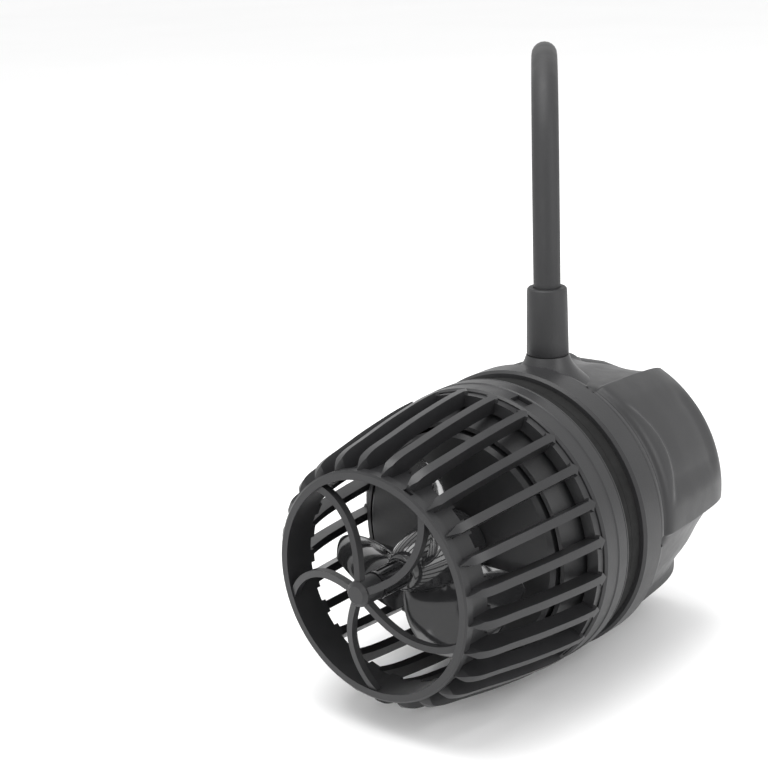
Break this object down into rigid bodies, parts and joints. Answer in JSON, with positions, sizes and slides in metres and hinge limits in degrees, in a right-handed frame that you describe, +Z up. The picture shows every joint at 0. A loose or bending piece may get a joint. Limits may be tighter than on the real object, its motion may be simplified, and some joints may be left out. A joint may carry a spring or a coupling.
{
  "type": "wave maker pump",
  "caption": "Aquarium wave maker pump: a ribbed wet side with a guarded propeller and a dry side motor that clamp the glass magnetically, with a cord.",
  "frame": {"origin": "centre of the pump on the surface that it lies on, cord left out", "axes": "+Z up along the strain relief, -Y along the pump axis out of the outlet, +X to the side"},
  "size_m": [0.1438, 0.22, 0.1546],
  "materials": {
    "shell_plastic": "satin moulded, fine spark-eroded texture",
    "guard_plastic": "semi-matte moulded",
    "blade_plastic": "polished",
    "can_plastic": "matte",
    "pad_rubber": "matte foam rubber",
    "gasket_rubber": "matte",
    "bush_ceramic": null,
    "shaft_steel": "ground",
    "yoke_steel": "plain",
    "magnet_metal": "nickel plated",
    "core_steel": "laminated",
    "winding_copper": "enamelled copper",
    "frame_aluminium": "machined",
    "screw_steel": "plain",
    "board_laminate": "solder mask",
    "cord_jacket": "matte jacket",
    "relief_rubber": "matte",
    "connector_plastic": "matte",
    "pin_gold": "gold flashed"
  },
  "bodies": {
    "dry_side": {"dry_pad": "pad_rubber", "front_plate": "shell_plastic", "housing_gasket": "gasket_rubber", "motor_housing": "shell_plastic", "strain_relief": "relief_rubber", "motor_frame": "frame_aluminium", "motor_screws": "screw_steel", "stator_core": "core_steel", "stator_windings": "winding_copper", "front_bearing": "shaft_steel", "rear_bearing": "shaft_steel", "circuit_board": "board_laminate", "cord": "cord_jacket", "cord_coil": "cord_jacket", "connector_body": "connector_plastic", "connector_collar": "connector_plastic", "connector_pins": "pin_gold"},
    "motor_rotor": {"motor_shaft": "shaft_steel", "motor_magnet": "magnet_metal", "drive_disc": "yoke_steel", "drive_magnets": "magnet_metal"},
    "wet_side": {"wet_base": "shell_plastic", "wet_face_plate": "shell_plastic", "rear_bush": "bush_ceramic", "wet_pad": "pad_rubber"},
    "impeller": {"propeller_shaft": "shaft_steel", "shaft_sleeve": "blade_plastic", "propeller": "blade_plastic", "rotor_can": "can_plastic", "rotor_yoke": "yoke_steel", "rotor_magnets": "magnet_metal", "thrust_washer": "bush_ceramic"},
    "guard": {"guard_cage": "guard_plastic", "outlet_spider": "guard_plastic", "front_bush": "bush_ceramic"}
  },
  "joints": [
    {"name": "motor_spin", "type": "hinge", "parent": "dry_side", "child": "motor_rotor", "pos_m": [0, 0.028, 0.038], "axis": [0, 1, 0], "continuous": true},
    {"name": "wet_side_slide", "type": "slide", "parent": "dry_side", "child": "wet_side", "axis": [0, -1, 0], "range_m": [0, 0.019], "stiffness_N_per_m": 200},
    {"name": "propeller_spin", "type": "hinge", "parent": "wet_side", "child": "impeller", "pos_m": [0, -0.022, 0.038], "axis": [0, 1, 0], "continuous": true},
    {"name": "guard_pull", "type": "slide", "parent": "wet_side", "child": "guard", "axis": [0, -1, 0], "range_m": [0, 0.05]}
  ],
  "couplings": [
    {"joint": "motor_spin", "follows": "propeller_spin", "ratio": 1}
  ]
}
